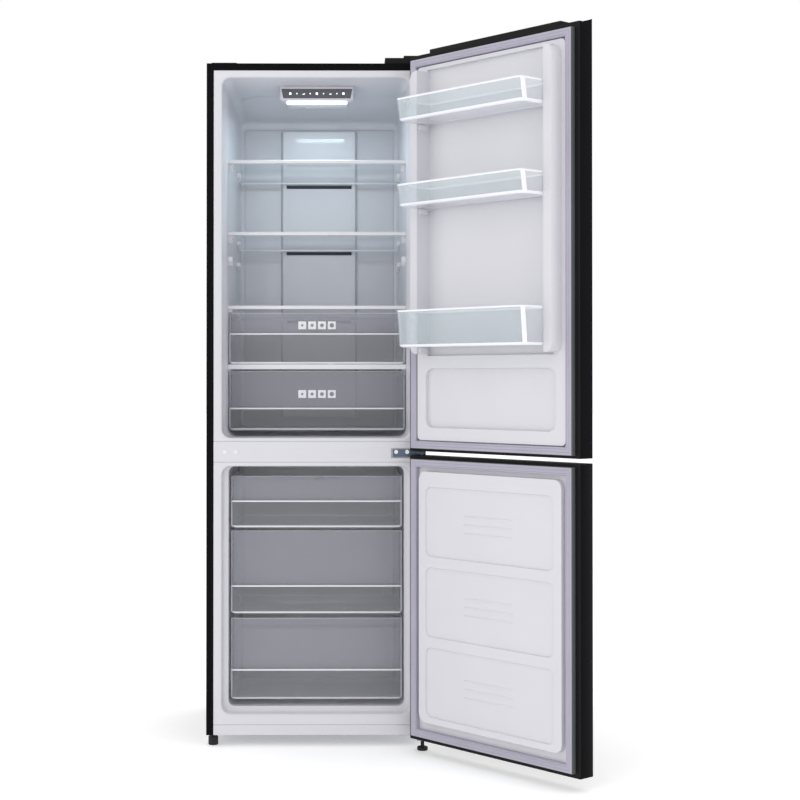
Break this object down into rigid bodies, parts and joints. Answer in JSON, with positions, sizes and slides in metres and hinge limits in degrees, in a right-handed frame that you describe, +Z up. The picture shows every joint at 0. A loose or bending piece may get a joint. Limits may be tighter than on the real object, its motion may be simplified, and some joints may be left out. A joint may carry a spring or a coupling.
{
  "type": "refrigerator",
  "caption": "Upright refrigerator with the freezer below, doors hinged on one side and standing open, with glass shelves, clear drawers and lift-off door bins.",
  "frame": {"origin": "on the floor, at the middle of the whole object's outline with its doors standing open", "axes": "+Z up, -Y out of the open front towards the user, +X towards the hinged side"},
  "size_m": [0.976, 1.0758, 1.8745],
  "materials": {
    "black_steel": "satin black coated steel sheet",
    "black_plastic": "fine-textured black moulded plastic",
    "compressor_paint": "black enamel over pressed steel",
    "galvanised_steel": "galvanised steel sheet",
    "hinge_steel": "dark blue-grey plated steel",
    "screw_chrome": "bright plated screw",
    "white_liner": "white vacuum-formed liner, soft gloss",
    "white_trim": "white moulded trim",
    "insulation_foam": "rigid foam",
    "gasket": "soft lavender-grey magnetic seal",
    "clear_plastic": "clear and frosted moulded plastic",
    "shelf_glass": "clear toughened glass",
    "lamp_lens": "frosted lens, lit",
    "panel_grey": "pale grey glossy control panel",
    "grey_plastic": "grey moulded plastic",
    "fin_aluminium": "bare fin stock",
    "foot_plastic": "black moulded foot"
  },
  "bodies": {
    "cabinet": {"air_duct_panel": "white_liner", "back_panel": "galvanised_steel", "base_tray": "galvanised_steel", "bay_lining": "galvanised_steel", "bottom_hinge_bracket": "galvanised_steel", "cabinet_shell": "black_steel", "centre_hinge_bracket": "hinge_steel", "centre_rail": "white_liner", "compressor": "compressor_paint", "control_panel": "panel_grey", "crisper_cover": "shelf_glass", "crisper_cover_trim": "white_trim", "evaporation_tray": "grey_plastic", "evaporator": "fin_aluminium", "fan_motor": "grey_plastic", "foam_insulation": "insulation_foam", "freezer_air_cover": "white_liner", "freezer_liner": "white_liner", "fridge_liner": "white_liner", "hinge_screw_1": "screw_chrome", "hinge_screw_2": "screw_chrome", "kick_plate": "white_liner", "lamp_lens": "lamp_lens", "terminal_box": "black_plastic", "top_blank_cover": "black_plastic", "top_hinge_bracket": "galvanised_steel", "top_hinge_cover": "black_plastic"},
    "fridge_door": {"fridge_door_skin": "black_steel", "fridge_door_cap_top": "black_plastic", "fridge_door_cap_bottom": "black_plastic", "fridge_door_core": "insulation_foam", "fridge_door_gasket": "gasket", "fridge_door_liner": "white_liner"},
    "freezer_door": {"freezer_door_skin": "black_steel", "freezer_door_cap_top": "black_plastic", "freezer_door_cap_bottom": "black_plastic", "freezer_door_core": "insulation_foam", "freezer_door_gasket": "gasket", "freezer_door_liner": "white_liner"},
    "bin_top": {"door_bin_top": "clear_plastic"},
    "bin_middle": {"door_bin_middle": "clear_plastic"},
    "bin_bottom": {"door_bin_bottom": "clear_plastic"},
    "shelf_1": {"shelf_glass_1": "shelf_glass", "shelf_trim_1": "white_trim"},
    "shelf_2": {"shelf_glass_2": "shelf_glass", "shelf_trim_2": "white_trim"},
    "shelf_3": {"shelf_glass_3": "shelf_glass", "shelf_trim_3": "white_trim"},
    "slider": {"humidity_slider": "white_trim"},
    "chiller": {"chiller_drawer": "clear_plastic"},
    "crisper": {"crisper_drawer": "clear_plastic"},
    "drawer_top": {"freezer_drawer_top": "clear_plastic"},
    "drawer_middle": {"freezer_drawer_middle": "clear_plastic"},
    "drawer_bottom": {"freezer_drawer_bottom": "clear_plastic"},
    "fan": {"evaporator_fan": "grey_plastic"},
    "foot_left": {"front_foot_left": "foot_plastic"},
    "foot_right": {"front_foot_right": "foot_plastic"},
    "roller_left": {"rear_roller_left": "grey_plastic"},
    "roller_right": {"rear_roller_right": "grey_plastic"}
  },
  "joints": [
    {"name": "fridge_door_hinge", "type": "hinge", "parent": "cabinet", "child": "fridge_door", "pos_m": [0.09345, -0.06206, 1.33], "axis": [0, 0, 1], "range_deg": [-131, 5]},
    {"name": "freezer_door_hinge", "type": "hinge", "parent": "cabinet", "child": "freezer_door", "pos_m": [0.09345, -0.06206, 0.412], "axis": [0, 0, 1], "range_deg": [-131, 5]},
    {"name": "bin_top_lift", "type": "slide", "parent": "fridge_door", "child": "bin_top", "axis": [0, 0, 1], "range_m": [0, 0.04]},
    {"name": "bin_middle_lift", "type": "slide", "parent": "fridge_door", "child": "bin_middle", "axis": [0, 0, 1], "range_m": [0, 0.04]},
    {"name": "bin_bottom_lift", "type": "slide", "parent": "fridge_door", "child": "bin_bottom", "axis": [0, 0, 1], "range_m": [0, 0.04]},
    {"name": "shelf_1_slide", "type": "slide", "parent": "cabinet", "child": "shelf_1", "axis": [0, -1, 0], "range_m": [0, 0.22]},
    {"name": "shelf_2_slide", "type": "slide", "parent": "cabinet", "child": "shelf_2", "axis": [0, -1, 0], "range_m": [0, 0.22]},
    {"name": "shelf_3_slide", "type": "slide", "parent": "cabinet", "child": "shelf_3", "axis": [0, -1, 0], "range_m": [0, 0.22]},
    {"name": "humidity_slide", "type": "slide", "parent": "cabinet", "child": "slider", "axis": [1, 0, 0], "range_m": [-0.03, 0.03]},
    {"name": "chiller_slide", "type": "slide", "parent": "cabinet", "child": "chiller", "axis": [0, -1, 0], "range_m": [0, 0.26]},
    {"name": "crisper_slide", "type": "slide", "parent": "cabinet", "child": "crisper", "axis": [0, -1, 0], "range_m": [0, 0.3]},
    {"name": "drawer_top_slide", "type": "slide", "parent": "cabinet", "child": "drawer_top", "axis": [0, -1, 0], "range_m": [0, 0.3]},
    {"name": "drawer_middle_slide", "type": "slide", "parent": "cabinet", "child": "drawer_middle", "axis": [0, -1, 0], "range_m": [0, 0.3]},
    {"name": "drawer_bottom_slide", "type": "slide", "parent": "cabinet", "child": "drawer_bottom", "axis": [0, -1, 0], "range_m": [0, 0.24]},
    {"name": "fan_spin", "type": "hinge", "parent": "cabinet", "child": "fan", "pos_m": [-0.19055, 0.41794, 0.655], "axis": [0, 1, 0], "continuous": true},
    {"name": "foot_left_turn", "type": "hinge", "parent": "cabinet", "child": "foot_left", "pos_m": [-0.47055, 0.00794, 0.01], "axis": [0, 0, 1], "continuous": true},
    {"name": "foot_right_turn", "type": "hinge", "parent": "cabinet", "child": "foot_right", "pos_m": [0.09545, -0.06206, 0.01], "axis": [0, 0, 1], "continuous": true},
    {"name": "roller_left_spin", "type": "hinge", "parent": "cabinet", "child": "roller_left", "pos_m": [-0.43555, 0.50694, 0.012], "axis": [1, 0, 0], "continuous": true},
    {"name": "roller_right_spin", "type": "hinge", "parent": "cabinet", "child": "roller_right", "pos_m": [0.05445, 0.50694, 0.012], "axis": [1, 0, 0], "continuous": true}
  ]
}
